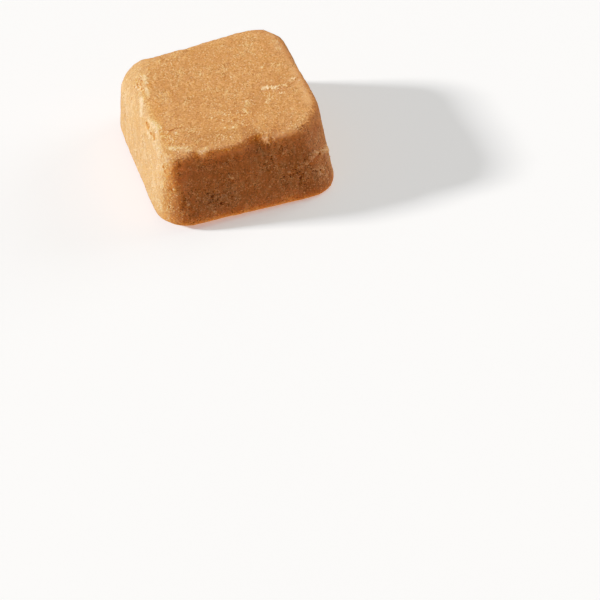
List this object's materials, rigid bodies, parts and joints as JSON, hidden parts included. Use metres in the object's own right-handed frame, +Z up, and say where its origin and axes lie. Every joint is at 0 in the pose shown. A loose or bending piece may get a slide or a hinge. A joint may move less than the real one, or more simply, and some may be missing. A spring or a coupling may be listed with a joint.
{
  "type": "fudge",
  "caption": "Bite-size block of butter fudge: a squat frustum with soft corners, a flat base and a worn, crumbly rim round its top face.",
  "frame": {"origin": "centre of the footprint's bounding box, on the base plane", "axes": "+Z up from the base to the top face; -Y is the front face, with the notched upper rim; -X is the left face, with the broad worn upper rim"},
  "size_m": [0.0248, 0.0248, 0.0118],
  "materials": {
    "fudge": "matte caramel-coloured fudge, finely grained, with small pores, pale sugar crumbs and lighter, waxy rims"
  },
  "bodies": {
    "root": {"fudge": "fudge"}
  },
  "joints": []
}
